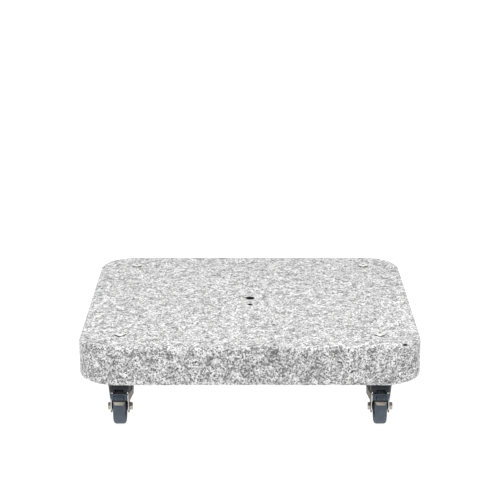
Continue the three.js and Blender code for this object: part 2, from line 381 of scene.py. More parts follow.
class Nodes:
    """A short way to write node materials."""

    def __init__(self, name):
        self.material = bpy.data.materials.new(name)
        self.material.use_nodes = True
        self.tree = self.material.node_tree
        self.shader = self.tree.nodes["Principled BSDF"]

    def add(self, kind, inputs=None, **values):
        node = self.tree.nodes.new(kind)
        for key, value in values.items():
            setattr(node, key, value)
        for key, value in (inputs or {}).items():
            socket = node.inputs[key]
            if isinstance(value, bpy.types.NodeSocket):
                self.tree.links.new(value, socket)
            else:
                socket.default_value = value
        return node

    def place(self, spread=7.0):
        """Object coordinates in metres, moved by a different amount for each piece."""
        co = self.add("ShaderNodeTexCoord").outputs["Object"]
        info = self.add("ShaderNodeObjectInfo").outputs["Random"]
        shift = self.add(
            "ShaderNodeVectorMath",
            {0: (spread, spread * 0.7, spread * 1.3)},
            operation="SCALE",
        )
        self.tree.links.new(info, shift.inputs["Scale"])
        return self.add(
            "ShaderNodeVectorMath", {0: co, 1: shift.outputs[0]}, operation="ADD"
        ).outputs[0]

    def noise(self, where, scale, detail=3.0, rough=0.55, distort=0.0):
        return self.add(
            "ShaderNodeTexNoise",
            {
                "Vector": where,
                "Scale": scale,
                "Detail": detail,
                "Roughness": rough,
                "Distortion": distort,
            },
        )

    def ramp(self, value, stops, kind="LINEAR"):
        node = self.add("ShaderNodeValToRGB", {"Fac": value})
        node.color_ramp.interpolation = kind
        elements = node.color_ramp.elements
        while len(elements) < len(stops):
            elements.new(0.5)
        for e, (pos, colour) in zip(elements, stops):
            e.position = pos
            e.color = (
                (*colour, 1) if hasattr(colour, "__len__") else (colour,) * 3 + (1,)
            )
        return node.outputs["Color"]

    def span(self, value, a, b, c, d):
        return self.add(
            "ShaderNodeMapRange",
            {
                "Value": value,
                "From Min": a,
                "From Max": b,
                "To Min": c,
                "To Max": d,
            },
        ).outputs["Result"]

    def mix(self, fac, a, b, blend="MIX"):
        node = self.add("ShaderNodeMix", data_type="RGBA", blend_type=blend)
        for index, value in ((0, fac), (6, a), (7, b)):
            if isinstance(value, bpy.types.NodeSocket):
                self.tree.links.new(value, node.inputs[index])
            elif index == 0:
                node.inputs[0].default_value = value
            else:
                node.inputs[index].default_value = (*value, 1)
        return node.outputs[2]

    def math(self, operation, a, b=None, c=None):
        node = self.add("ShaderNodeMath", operation=operation)
        for i, v in enumerate((a, b, c)):
            if isinstance(v, bpy.types.NodeSocket):
                self.tree.links.new(v, node.inputs[i])
            elif v is not None:
                node.inputs[i].default_value = v
        return node.outputs[0]

    def bump(self, height, strength, distance, normal=None):
        inputs = {"Height": height, "Strength": strength, "Distance": distance}
        if normal is not None:
            inputs["Normal"] = normal
        return self.add("ShaderNodeBump", inputs).outputs["Normal"]

    def painted_crevice_shade(self, colour, dark, reach=0.008, low=0.25, high=0.85, most=0.8):
        """Painted shade: the colour darkened towards the dark one where the surface is closed in by others nearer
        than the reach.
        """
        shelter = self.add(
            "ShaderNodeAmbientOcclusion", {"Distance": reach}, samples=8
        ).outputs["AO"]
        return self.mix(self.span(shelter, low, high, most, 0.0), colour, dark)

    def done(self, colour=None, roughness=None, normal=None, **fixed):
        for name, value in (
            ("Base Color", colour),
            ("Roughness", roughness),
            ("Normal", normal),
        ):
            if value is None:
                continue
            socket = self.shader.inputs[name]
            if isinstance(value, bpy.types.NodeSocket):
                self.tree.links.new(value, socket)
            elif name == "Base Color":
                socket.default_value = (*value, 1)
            else:
                socket.default_value = value
        for name, value in fixed.items():
            self.shader.inputs[name.replace("_", " ")].default_value = value
        return self.material


def granite_material():
    """Salt-and-pepper granite: pale feldspar, grey quartz and black mica, with flamed faces."""
    k = Nodes("granite")
    co = k.add("ShaderNodeTexCoord").outputs["Object"]
    wander = k.noise(co, 150.0, 2.0)
    bent = k.add(
        "ShaderNodeVectorMath",
        {0: wander.outputs["Color"], 1: (0.5, 0.5, 0.5)},
        operation="SUBTRACT",
    ).outputs[0]
    bent = k.add(
        "ShaderNodeVectorMath", {0: bent, "Scale": 0.005}, operation="SCALE"
    ).outputs[0]
    place = k.add(
        "ShaderNodeVectorMath", {0: co, 1: bent}, operation="ADD"
    ).outputs[0]

    crystals = k.add(
        "ShaderNodeTexVoronoi", {"Vector": place, "Scale": 345.0, "Randomness": 1.0}
    )
    pick = k.add(
        "ShaderNodeSeparateColor", {"Color": crystals.outputs["Color"]}
    ).outputs
    clouds = k.noise(co, 48.0, 3.0, 0.62).outputs["Fac"]
    drift = k.noise(co, 7.0, 2.0, 0.5).outputs["Fac"]
    # each crystal's own tone, darker on the whole inside the grey clouds
    tone = k.math("ADD", pick[0], k.span(clouds, 0.36, 0.64, 0.26, -0.26))
    body = k.ramp(
        tone,
        [
            (0.00, 0.88),
            (0.26, 0.69),
            (0.52, 0.48),
            (0.74, 0.30),
            (0.90, 0.19),
            (1.00, 0.13),
        ],
    )
    flakes = k.add(
        "ShaderNodeTexVoronoi", {"Vector": place, "Scale": 470.0, "Randomness": 1.0}
    )
    flake = k.add(
        "ShaderNodeSeparateColor", {"Color": flakes.outputs["Color"]}
    ).outputs
    dark = k.math(
        "GREATER_THAN",
        k.math("ADD", flake[1], k.span(clouds, 0.35, 0.65, -0.14, 0.10)),
        0.89,
    )
    body = k.mix(dark, body, (0.07, 0.07, 0.07))
    grain = k.noise(place, 900.0, 3.0, 0.65).outputs["Fac"]
    body = k.mix(
        k.span(grain, 0.3, 0.7, 0.0, 0.45), body, (0.82, 0.82, 0.82), "SOFT_LIGHT"
    )
    body = k.mix(
        k.span(drift, 0.3, 0.7, 0.0, 0.14), body, (0.50, 0.50, 0.50), "MULTIPLY"
    )
    # painted shade: the stone darkened where other parts close it in
    body = k.painted_crevice_shade(body, (0.05, 0.05, 0.05), 0.010, 0.25, 0.62, 0.92)
    # one dark inclusion, where the front right corner is chipped
    off = k.add(
        "ShaderNodeVectorMath", {0: co, 1: (-0.3213, 0.3385, -0.1842)}, operation="ADD"
    ).outputs[0]
    off = k.add(
        "ShaderNodeVectorMath",
        {0: off, 1: (0.17, 0.17, 0.36)},
        operation="MULTIPLY",
    ).outputs[0]
    reach = k.add("ShaderNodeVectorMath", {0: off}, operation="LENGTH").outputs[
        "Value"
    ]
    ragged = k.span(k.noise(co, 420.0, 2.0).outputs["Fac"], 0.3, 0.7, -0.00035, 0.00035)
    spot = k.span(k.math("ADD", reach, ragged), 0.00085, 0.00112, 1.0, 0.0)
    body = k.mix(spot, body, (0.012, 0.011, 0.010))
    # painted shade: a dark ring on the top round the rims of the two drilled holes, widening their dark
    flat = k.add(
        "ShaderNodeVectorMath", {0: co, 1: (1.0, 1.0, 0.0)}, operation="MULTIPLY"
    ).outputs[0]
    on_top = k.span(
        k.add("ShaderNodeSeparateXYZ", {"Vector": co}).outputs[2], 0.150, 0.160, 0.0, 1.0
    )
    for y, r in ((0.0, 0.0104), (-0.052, 0.0057)):
        to_rim = k.add(
            "ShaderNodeVectorMath", {0: flat, 1: (0.0, -y, 0.0)}, operation="ADD"
        ).outputs[0]
        to_rim = k.add("ShaderNodeVectorMath", {0: to_rim}, operation="LENGTH").outputs[
            "Value"
        ]
        to_rim = k.math("ADD", to_rim, ragged)
        painted_shade = k.math("MULTIPLY", k.span(to_rim, r, r + 0.0014, 0.9, 0.0), on_top)
        body = k.mix(painted_shade, body, (0.03, 0.03, 0.03))
    rough = k.math(
        "ADD",
        k.span(pick[0], 0.0, 1.0, 0.62, 0.86),
        k.span(dark, 0.0, 1.0, 0.0, -0.22),
    )
    flamed = k.math(
        "ADD",
        k.span(crystals.outputs["Distance"], 0.0, 0.9, 0.6, 0.0),
        k.math("MULTIPLY", k.noise(place, 420.0, 4.0, 0.7).outputs["Fac"], 0.7),
    )
    normal = k.bump(flamed, 0.55, 0.0011)
    normal = k.bump(grain, 0.35, 0.0004, normal)
    return k.done(body, rough, normal)


def painted_hole_shade_material():
    """The walls of the two drilled holes, painted near-black from the rim down: painted shade inside the holes."""
    k = Nodes("drilled_bore")
    co = k.add("ShaderNodeTexCoord").outputs["Object"]
    grain = k.noise(co, 900.0, 3.0).outputs["Fac"]
    colour = k.ramp(grain, [(0.3, 0.006), (0.7, 0.022)])
    return k.done(
        colour,
        k.span(grain, 0.3, 0.7, 0.6, 0.85),
        k.bump(grain, 0.5, 0.0006),
        Specular_IOR_Level=0.2,
    )


def plastic_material(name, colour, rough, scuff, spark=2600.0, spark_depth=0.00006):
    """Moulded plastic with a spark-eroded skin, faint flow marks, dust and rubbed edges."""
    k = Nodes(name)
    place = k.place()
    skin = k.noise(place, spark, 2.0, 0.6).outputs["Fac"]
    cloud = k.noise(place, 38.0, 3.0, 0.55).outputs["Fac"]
    dust = k.noise(place, 240.0, 4.0, 0.7).outputs["Fac"]
    lighter = tuple(min(1.0, c * 1.35 + 0.012) for c in colour)
    darker = tuple(c * 0.78 for c in colour)
    base = k.ramp(cloud, [(0.30, darker), (0.70, lighter)])
    worn = k.math(
        "MULTIPLY",
        k.span(
            k.add("ShaderNodeNewGeometry").outputs["Pointiness"], 0.51, 0.58, 0.0, 1.0
        ),
        k.span(dust, 0.42, 0.62, 0.0, 1.0),
    )
    base = k.mix(k.math("MULTIPLY", worn, 0.7), base, scuff)
    base = k.mix(k.span(dust, 0.58, 0.82, 0.0, 0.30), base, scuff)
    # painted shade: the plastic darkened where other parts close it in
    base = k.painted_crevice_shade(base, tuple(c * 0.12 for c in colour), 0.007, 0.30, 0.80, 0.92)
    roughness = k.math("ADD", k.span(skin, 0.3, 0.7, rough - 0.06, rough + 0.07), k.span(dust, 0.4, 0.8, 0.0, 0.14))
    normal = k.bump(skin, 0.35, spark_depth)
    normal = k.bump(cloud, 0.12, 0.0004, normal)
    return k.done(base, roughness, normal, Specular_IOR_Level=0.35)


def rubber_material():
    k = Nodes("tread_rubber")
    place = k.place()
    skin = k.noise(place, 1500.0, 3.0, 0.6).outputs["Fac"]
    cloud = k.noise(place, 55.0, 4.0, 0.6).outputs["Fac"]
    grit = k.noise(place, 520.0, 3.0, 0.75).outputs["Fac"]
    base = k.ramp(
        cloud, [(0.28, (0.066, 0.084, 0.108)), (0.72, (0.098, 0.120, 0.150))]
    )
    base = k.mix(k.span(grit, 0.60, 0.80, 0.0, 0.4), base, (0.22, 0.23, 0.24))
    base = k.mix(k.span(grit, 0.22, 0.36, 0.5, 0.0), base, (0.035, 0.043, 0.055))
    # painted shade: the rubber darkened where other parts close it in
    base = k.painted_crevice_shade(base, (0.012, 0.014, 0.017), 0.007, 0.30, 0.80, 0.9)
    roughness = k.span(skin, 0.3, 0.7, 0.62, 0.80)
    normal = k.bump(skin, 0.3, 0.00010)
    normal = k.bump(grit, 0.22, 0.00018, normal)
    return k.done(base, roughness, normal, Specular_IOR_Level=0.3)


def metal_material(name, colour, rough, stain, axis="Z", brush=0.35, painted_shade=0.85):
    """Plated or bright steel: drawn lines, cloudy plating and a little dulling."""
    k = Nodes(name)
    place = k.place()
    stretch = {"X": (0.04, 1, 1), "Y": (1, 0.04, 1), "Z": (1, 1, 0.04)}[axis]
    drawn = k.add(
        "ShaderNodeVectorMath", {0: place, 1: stretch}, operation="MULTIPLY"
    ).outputs[0]
    lines = k.noise(drawn, 1900.0, 3.0, 0.6).outputs["Fac"]
    cloud = k.noise(place, 90.0, 4.0, 0.6).outputs["Fac"]
    spots = k.noise(place, 420.0, 3.0, 0.65).outputs["Fac"]
    base = k.ramp(
        cloud, [(0.30, tuple(c * 0.86 for c in colour)), (0.70, colour)]
    )
    base = k.mix(k.span(spots, 0.60, 0.80, 0.0, 0.5), base, stain)
    # painted shade: the metal darkened where other parts close it in
    base = k.painted_crevice_shade(base, tuple(c * 0.16 for c in stain), 0.009, 0.25, 0.80, painted_shade)
    roughness = k.math(
        "ADD",
        k.span(cloud, 0.3, 0.7, rough - 0.05, rough + 0.07),
        k.span(spots, 0.55, 0.80, 0.0, 0.16),
    )
    normal = k.bump(lines, brush, 0.00004)
    normal = k.bump(spots, 0.10, 0.00008, normal)
    return k.done(base, roughness, normal, Metallic=1.0)


def ringed_material(name, colour, rough, stain):
    """A turned or stamped stainless head: faint rings about the local Z axis."""
    k = Nodes(name)
    co = k.add("ShaderNodeTexCoord").outputs["Object"]
    parts = k.add("ShaderNodeSeparateXYZ", {"Vector": co}).outputs
    radius = k.math(
        "SQRT",
        k.math(
            "ADD",
            k.math("MULTIPLY", parts[0], parts[0]),
            k.math("MULTIPLY", parts[1], parts[1]),
        ),
    )
    along = k.add("ShaderNodeCombineXYZ", {"X": radius, "Y": parts[2]}).outputs[0]
    rings = k.noise(along, 3200.0, 2.0, 0.6).outputs["Fac"]
    cloud = k.noise(k.place(), 160.0, 4.0, 0.6).outputs["Fac"]
    base = k.ramp(
        cloud, [(0.30, tuple(c * 0.84 for c in colour)), (0.70, colour)]
    )
    base = k.mix(k.span(cloud, 0.62, 0.80, 0.0, 0.5), base, stain)
    # painted shade: the wall of the head, down by the stone, is painted near-black
    wall = k.math(
        "MULTIPLY",
        k.span(radius, 0.0112, 0.0116, 0.0, 1.0),
        k.span(parts[2], 0.0872, 0.0878, 1.0, 0.0),
    )
    base = k.mix(k.math("MULTIPLY", wall, 0.86), base, (0.05, 0.05, 0.05))
    # painted shade: the inside of the hex socket is painted near-black
    socket = k.math(
        "MULTIPLY",
        k.span(radius, 0.00365, 0.00385, 1.0, 0.0),
        k.span(parts[2], 0.0893, 0.0895, 1.0, 0.0),
    )
    base = k.mix(k.math("MULTIPLY", socket, 0.93), base, (0.03, 0.03, 0.03))
    roughness = k.span(cloud, 0.3, 0.7, rough - 0.05, rough + 0.10)
    return k.done(base, roughness, k.bump(rings, 0.4, 0.00003), Metallic=1.0)


def fork_material():
    """Zinc-plated pressed steel: dull cheeks and spots, a painted highlight on the faces turned to the front, and
    painted shade at the back, behind the front edge and up by the ball race.
    """
    k = Nodes("fork_zinc")
    place = k.place()
    turn = k.add("ShaderNodeTexCoord").outputs
    drawn = k.add(
        "ShaderNodeVectorMath", {0: place, 1: (1, 1, 0.05)}, operation="MULTIPLY"
    ).outputs[0]
    lines = k.noise(drawn, 1500.0, 3.0, 0.6).outputs["Fac"]
    streak = k.noise(drawn, 260.0, 3.0, 0.6).outputs["Fac"]
    cloud = k.noise(place, 90.0, 4.0, 0.6).outputs["Fac"]
    spots = k.noise(place, 420.0, 3.0, 0.65).outputs["Fac"]
    base = k.ramp(
        streak, [(0.36, (0.18, 0.162, 0.15)), (0.62, (0.38, 0.348, 0.325))]
    )
    base = k.mix(k.span(cloud, 0.4, 0.7, 0.0, 0.4), base, (0.27, 0.247, 0.232))
    front = k.add("ShaderNodeSeparateXYZ", {"Vector": turn["Normal"]}).outputs[1]
    spot = k.add("ShaderNodeSeparateXYZ", {"Vector": turn["Object"]}).outputs
    height = spot[2]
    # darker towards the bottom of the legs; painted shade towards the back and in a strip behind the front edge
    base = k.mix(k.span(height, -0.052, -0.044, 0.6, 0.0), base, (0.15, 0.135, 0.126))
    behind = k.math(
        "ADD",
        k.math("ADD", spot[1], 0.034),
        k.math(
            "MULTIPLY", k.math("MAXIMUM", k.math("SUBTRACT", -0.017, height), 0.0), 0.215
        ),
    )
    # painted highlight: faces turned to the front are painted bright and fully metallic
    front_highlight = k.span(front, -0.95, -0.88, 1.0, 0.0)
    front_strip_shade = k.span(behind, 0.0010, 0.0050, 0.75, 0.0)
    back_shade = k.span(spot[1], -0.0190, -0.0100, 0.0, 0.92)
    base = k.mix(front_strip_shade, base, (0.06, 0.054, 0.05))
    base = k.mix(back_shade, base, (0.045, 0.038, 0.04))
    base = k.mix(front_highlight, base, (0.80, 0.78, 0.76))
    metal_outside_painted_shade = k.math(
        "MAXIMUM",
        front_highlight,
        k.span(k.math("MAXIMUM", front_strip_shade, back_shade), 0.0, 0.9, 0.75, 0.0),
    )
    k.tree.links.new(metal_outside_painted_shade, k.shader.inputs["Metallic"])
    # painted shade: the crown darkened up by the ball race, where the slab's underside shades it
    slab_shade = k.span(
        k.math("ADD", height, k.span(cloud, 0.3, 0.7, -0.0015, 0.0015)),
        -0.0345,
        -0.0285,
        0.0,
        0.90,
    )
    base = k.mix(slab_shade, base, (0.030, 0.027, 0.026))
    base = k.mix(k.span(spots, 0.62, 0.82, 0.0, 0.5), base, (0.30, 0.27, 0.24))
    # painted shade: the zinc darkened where other parts close it in
    base = k.painted_crevice_shade(base, (0.03, 0.027, 0.024), 0.009, 0.25, 0.80, 0.85)
    roughness = k.math(
        "ADD",
        k.span(cloud, 0.3, 0.7, 0.30, 0.42),
        k.span(spots, 0.55, 0.80, 0.0, 0.16),
    )
    normal = k.bump(lines, 0.35, 0.00004)
    normal = k.bump(spots, 0.10, 0.00008, normal)
    k.shader.inputs["Specular Tint"].default_value = (0.45, 0.42, 0.41, 1)
    return k.done(base, roughness, normal, Specular_IOR_Level=0.15)


MAT = {
    "granite": granite_material(),
    "bore": painted_hole_shade_material(),
    "stainless": ringed_material(
        "stainless", (0.86, 0.86, 0.85), 0.30, (0.55, 0.54, 0.52)
    ),
    "zinc": fork_material(),
    "zinc_across": metal_material(
        "zinc_across", (0.50, 0.46, 0.40), 0.34, (0.22, 0.19, 0.15), axis="X"
    ),
    "brake_steel": metal_material(
        "brake_steel", (0.50, 0.468, 0.41), 0.34, (0.27, 0.24, 0.20), axis="X"
    ),
    "cover_plastic": plastic_material(
        "cover_plastic", (0.0100, 0.0122, 0.0170), 0.52, (0.034, 0.037, 0.044)
    ),
    "pedal_plastic": plastic_material(
        "pedal_plastic", (0.058, 0.078, 0.103), 0.46, (0.13, 0.156, 0.185)
    ),
    # a darker, greyer copy of the pedal plastic: painted shade for the lever under the hood
    "lever_plastic": plastic_material(
        "lever_plastic", (0.065, 0.070, 0.080), 0.55, (0.12, 0.13, 0.14)
    ),
    # near-black: the painted shadow under the step's lip
    "shoe_seat": plastic_material(
        "shoe_seat", (0.0035, 0.0038, 0.0045), 0.75, (0.010, 0.010, 0.012)
    ),
    "core_plastic": plastic_material(
        "core_plastic", (0.022, 0.027, 0.035), 0.50, (0.060, 0.065, 0.075)
    ),
    "tread_rubber": rubber_material(),
}

# ---------------------------------------------------------------- the stone

SLAB_W, SLAB_T, BASE = 720.0, 85.0, 100.0
CORNER, EDGE = 86.0, 9.0
PITCH = 274.0


def outline(inset, n_corner=26, n_side=72):
    """The slab's plan outline, anticlockwise, inset by that much."""
    h, r = SLAB_W / 2 - inset, CORNER - inset
    pts = []
    for sx, sy, a0 in ((1, 1, 0), (-1, 1, 90), (-1, -1, 180), (1, -1, 270)):
        cx, cy = sx * (SLAB_W / 2 - CORNER), sy * (SLAB_W / 2 - CORNER)
        for i in range(n_corner):
            a = math.radians(a0 + 90 * i / n_corner)
            pts.append((cx + r * math.cos(a), cy + r * math.sin(a)))
        end = math.radians(a0 + 90)
        start = (cx + r * math.cos(end), cy + r * math.sin(end))
        nx, ny = {(1, 1): (-1, 1), (-1, 1): (-1, -1), (-1, -1): (1, -1), (1, -1): (1, 1)}[(sx, sy)]
        cx2, cy2 = nx * (SLAB_W / 2 - CORNER), ny * (SLAB_W / 2 - CORNER)
        stop = (cx2 + r * math.cos(end), cy2 + r * math.sin(end))
        for i in range(n_side):
            t = i / n_side
            pts.append(
                (start[0] + (stop[0] - start[0]) * t, start[1] + (stop[1] - start[1]) * t)
            )
    return pts


def circle(cx, cy, r, n):
    return [
        (
            cx + r * math.cos(2 * math.pi * i / n),
            cy + r * math.sin(2 * math.pi * i / n),
        )
        for i in range(n)
    ]


def flat_face(rim, holes, step):
    """A triangulated face inside the rim and outside the holes, with points at about the step. Returns points and faces."""
    pts = [Vector(p) for p in rim]
    edges = [(i, (i + 1) % len(rim)) for i in range(len(rim))]
    for hole in holes:
        start = len(pts)
        pts += [Vector(p) for p in hole]
        n = len(hole)
        edges += [(start + (i + 1) % n, start + i) for i in range(n)]
    rim_np = np.array(rim)
    half = SLAB_W / 2 - EDGE
    xs = np.arange(-half + step * 0.7, half, step)
    grid = []
    for row, y in enumerate(xs):
        for x in xs + (step * 0.25 if row % 2 else -step * 0.25):
            cx, cy = max(abs(x) - (SLAB_W / 2 - CORNER), 0), max(
                abs(y) - (SLAB_W / 2 - CORNER), 0
            )
            if math.hypot(cx, cy) > CORNER - EDGE - step * 0.5:
                continue
            if max(abs(x), abs(y)) > half - step * 0.4:
                continue
            if any(
                math.hypot(x - hx, y - hy) < hr + step * 0.45 for hx, hy, hr in HOLES
            ):
                continue
            grid.append(Vector((x, y)))
    out = delaunay_2d_cdt(pts + grid, edges, [], 0, 1e-5)
    verts, faces = out[0], out[2]
    keep = []
    for f in faces:
        inside = False
        for hx, hy, hr in HOLES:
            if all(math.hypot(verts[i].x - hx, verts[i].y - hy) < hr + 0.01 for i in f):
                inside = True
        if not inside:
            keep.append(f)
    return [(v.x, v.y) for v in verts], keep


HOLE_CHAMFER = 0.45
HOLES = [(0.0, 0.0, 10.0 + HOLE_CHAMFER), (0.0, -52.0, 5.25 + HOLE_CHAMFER * 0.7)] + [
    (sx * PITCH, sy * PITCH, 6.75) for sx in (-1, 1) for sy in (-1, 1)
]


def build_stone():
    global HOLES
    bm = bmesh.new()
    cache = {}

    def vert(p):
        key = tuple(round(c, 3) for c in p)
        if key not in cache:
            cache[key] = bm.verts.new((p[0] * MM, p[1] * MM, p[2] * MM))
        return cache[key]

    def face(points):
        vs = []
        for p in points:
            v = vert(p)
            if v not in vs:
                vs.append(v)
        if len(vs) > 2:
            try:
                bm.faces.new(vs)
            except ValueError:
                pass

    top, bottom = BASE + SLAB_T, BASE
    levels = []
    for i in range(7):
        a = math.radians(90 * i / 6)
        levels.append((EDGE * (1 - math.sin(a)), bottom + EDGE * (1 - math.cos(a))))
    wall = 16
    for i in range(1, wall):
        levels.append((0.0, bottom + EDGE + (SLAB_T - 2 * EDGE) * i / wall))
    for i in range(7):
        a = math.radians(90 * i / 6)
        levels.append((EDGE * (1 - math.cos(a)), top - EDGE + EDGE * math.sin(a)))
    rims = [[(x, y, z) for x, y in outline(inset)] for inset, z in levels]
    n = len(rims[0])
    for a, b in zip(rims, rims[1:]):
        for j in range(n):
            k = (j + 1) % n
            face((a[j], a[k], b[k], b[j]))

    segments = [48, 32] + [32] * 4
    all_holes = list(HOLES)
    for z, up in ((top, True), (bottom, False)):
        if up:
            HOLES = all_holes
            loops = [circle(hx, hy, hr, s) for (hx, hy, hr), s in zip(HOLES, segments)]
        else:
            HOLES = [all_holes[0]] + all_holes[2:]
            loops = [
                circle(hx, hy, hr, s)
                for (hx, hy, hr), s in zip(HOLES, [48] + [32] * 4)
            ]
        pts, faces = flat_face(outline(EDGE), loops, 6.0 if up else 24.0)
        for f in faces:
            face([(pts[i][0], pts[i][1], z) for i in (f if up else reversed(f))])
    HOLES = all_holes

    def bore(cx, cy, rings, n, floor=None):
        loops = [[(x, y, z) for x, y in circle(cx, cy, r, n)] for r, z in rings]
        for a, b in zip(loops, loops[1:]):
            for j in range(n):
                k = (j + 1) % n
                face((a[j], a[k], b[k], b[j]))
        if floor is not None:
            tip = (cx, cy, floor)
            for j in range(n):
                face((loops[-1][j], loops[-1][(j + 1) % n], tip))

    c = HOLE_CHAMFER
    bore(
        0,
        0,
        [(10 + c, top), (10 + c * 0.35, top - c * 0.25), (10, top - c)]
        + [(10, top - SLAB_T * t) for t in (0.25, 0.5, 0.75)]
        + [(10, bottom + c), (10 + c * 0.35, bottom + c * 0.25), (10 + c, bottom)],
        48,
    )
    bore(
        0,
        -52,
        [(5.25 + c * 0.7, top), (5.25 + c * 0.2, top - c * 0.25), (5.25, top - c)]
        + [(5.25, top - 22), (5.25, top - 43.5)],
        32,
        floor=top - 45,
    )
    for hx, hy, hr in HOLES[2:]:
        bore(hx, hy, [(hr, top), (hr, (top + bottom) / 2), (hr, bottom)], 32)

    bmesh.ops.remove_doubles(bm, verts=bm.verts, dist=0.01 * MM)
    # a finer skin where the stone is seen, so that its roughness is in the mesh
    bmesh.ops.triangulate(
        bm, faces=[f for f in bm.faces if len(f.verts) > 4], quad_method="BEAUTY"
    )
    bmesh.ops.recalc_face_normals(bm, faces=bm.faces)
    mesh = bpy.data.meshes.new("granite_slab_stone")
    bm.to_mesh(mesh)
    bm.free()
    mesh.update()
    mesh = applied(
        mesh,
        (
            "SUBSURF",
            {"levels": 1, "render_levels": 1, "subdivision_type": "SIMPLE"},
        ),
    )

    co = np.empty(len(mesh.vertices) * 3)
    mesh.vertices.foreach_get("co", co)
    co = co.reshape(-1, 3) / MM
    normals = np.empty(len(mesh.vertices) * 3)
    mesh.vertices.foreach_get("normal", normals)
    normals = normals.reshape(-1, 3)
    depth = (
        0.26 * noise3(co, 7.5, 1)
        + 0.20 * noise3(co, 3.9, 2)
        + 0.30 * noise3(co, 26.0, 3)
        + 0.25 * noise3(co, 90.0, 4)
    )
    depth = np.maximum(depth - 0.25, 0.0)
    # small bruises along the edges
    plan = np.maximum(np.abs(co[:, :2]) - (SLAB_W / 2 - CORNER), 0)
    out = np.hypot(plan[:, 0], plan[:, 1])
    near_edge = np.exp(-(((CORNER - EDGE * 0.35 - out) / 6.0) ** 2)) * np.exp(
        -((np.minimum(top - co[:, 2], co[:, 2] - bottom) - EDGE * 0.3) ** 2) / 60.0
    )
    bruise = np.clip(noise3(co, 14.0, 5) - 0.68, 0, 1) * 3.2
    depth += near_edge * bruise * 1.5
    # one chip with a dark inclusion, on the front right corner's upper edge
    chip = np.array([321.3, -338.8, 184.2])
    away = np.linalg.norm((co - chip) * np.array([0.8, 1.0, 1.25]), axis=1)
    depth += 1.8 * np.exp(-((away / 4.0) ** 2))
    for hx, hy, hr in HOLES:
        quiet = np.hypot(co[:, 0] - hx, co[:, 1] - hy)
        depth *= np.clip((quiet - hr - (0 if hr != 6.75 else 6.5)) / 5.0, 0.0, 1.0)
    moved = co - normals * depth[:, None]
    mesh.vertices.foreach_set("co", (moved * MM).ravel())
    mesh.update()
    tidy(mesh, 40.0, weld=0.001)

    mesh.materials.append(MAT["granite"])
    mesh.materials.append(MAT["bore"])
    # the hole walls take the near-black painted shade of the bore material
    for p in mesh.polygons:
        x, y, z = np.array(p.center) / MM
        for hx, hy, hr in HOLES[:2]:
            if math.hypot(x - hx, y - hy) < hr and z < top - 0.01:
                p.material_index = 1
    return mesh


stone = bpy.data.objects.new("granite_slab_stone", build_stone())
scene.collection.objects.link(stone)
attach(stone, "stone")
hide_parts("granite_slab")

# ---------------------------------------------------------------- the castor's shapes, once each, in its own frame

WHEEL_R, TREAD_W = 37.5, 26.0
TRAIL, AXLE_Z = 30.0, -62.5
FORK_T, LEG_OUT, LEG_END = 2.5, 19.5, 14.0
CROWN_R, CROWN_TOP, CROWN_SKIRT, CROWN_FRONT, KNEE_Z = 28.0, -8.5, -17.0, 34.0, -50.0
BACK_R, BACK_Z = 27.5, -48.0
PIN_D, PIN_Z, PIN_R = 20.0, -18.5, 2.5


def about_axle(r, degrees):
    a = math.radians(degrees)
    return (TRAIL + r * math.cos(a), AXLE_Z + r * math.sin(a))


def sweep(r, a, b, n):
    return [about_axle(r, a + (b - a) * i / n) for i in range(n + 1)]


def leg_edge(d0, z0, side, z):
    dx, dz = TRAIL - d0, AXLE_Z - z0
    a = math.atan2(dz, dx) + side * math.asin(LEG_END / math.hypot(dx, dz))
    return d0 + (z - z0) / math.tan(a)


def back_edge(grow, z):
    """The lower edge of the round skirt at the back of the crown."""
    out = []
    for j in range(96):
        t = 2 * math.pi * j / 96
        x, y = (BACK_R + grow) * math.sin(t), -(BACK_R + grow) * math.cos(t)
        if y > 8:
            out.append((x, y, z))
    return out


def shoulders(grow, fillet):
    """The fork's crown and flared shoulders, outside the sheet's face by grow, with a pressed edge of that radius."""
    pts = []
    top = CROWN_TOP + grow
    knee_front = leg_edge(CROWN_FRONT, CROWN_SKIRT, 1, KNEE_Z)
    knee_back = leg_edge(-CROWN_R, CROWN_SKIRT, -1, KNEE_Z)
    bends = 6
    for i in range(bends + 1):
        a = math.radians(90 * i / bends)
        inset, z = fillet * (1 - math.cos(a)), top - fillet * (1 - math.sin(a))
        r = CROWN_R + grow - inset
        for j in range(72):
            t = 2 * math.pi * j / 72
            pts.append((r * math.sin(t), -r * math.cos(t), z))
        for s in (-1, 1):
            pts.append((s * (LEG_OUT + grow - inset), -(CROWN_FRONT + grow), z))
    for j in range(72):
        t = 2 * math.pi * j / 72
        r = CROWN_R + grow
        pts.append((r * math.sin(t), -r * math.cos(t), CROWN_SKIRT))
    for s in (-1, 1):
        x = s * (LEG_OUT + grow)
        pts += [
            (x, -(CROWN_FRONT + grow), CROWN_SKIRT),
            (x, -knee_front, KNEE_Z),
            (x, -knee_back, KNEE_Z),
        ]
    return pts + back_edge(grow, BACK_Z)


